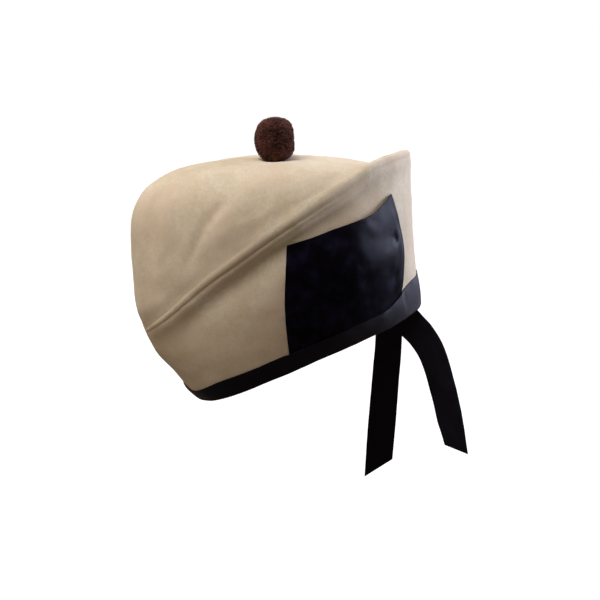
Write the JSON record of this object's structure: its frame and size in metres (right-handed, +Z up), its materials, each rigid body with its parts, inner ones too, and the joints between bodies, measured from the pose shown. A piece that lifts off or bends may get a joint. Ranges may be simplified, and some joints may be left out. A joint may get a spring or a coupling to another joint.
{
  "type": "glengarry",
  "caption": "Boat-shaped milled wool cap with a puffed crown, ribbon-bound rim, pleated ribbon cockade, wool toorie and ribbon tails behind.",
  "frame": {"origin": "middle of the head opening, at the level of its bound rim", "axes": "+Z up as the cap is worn, with its front dipped 18 degrees; -Y to the wearer's front; +X to the wearer's left, the cockade's side"},
  "size_m": [0.1457, 0.337, 0.3624],
  "materials": {
    "milled_wool": "matt thick-milled wool in sand, with a short nap",
    "black_ribbon": "fine ribbed black ribbon with a low sheen",
    "toorie_wool": "matt tufted wool yarn in mottled dark red and brown"
  },
  "bodies": {
    "root": {"crown": "milled_wool", "side_left": "milled_wool", "side_right": "milled_wool", "binding": "black_ribbon", "cockade": "black_ribbon", "tail_left": "black_ribbon", "tail_right": "black_ribbon", "toorie": "toorie_wool"}
  },
  "joints": []
}
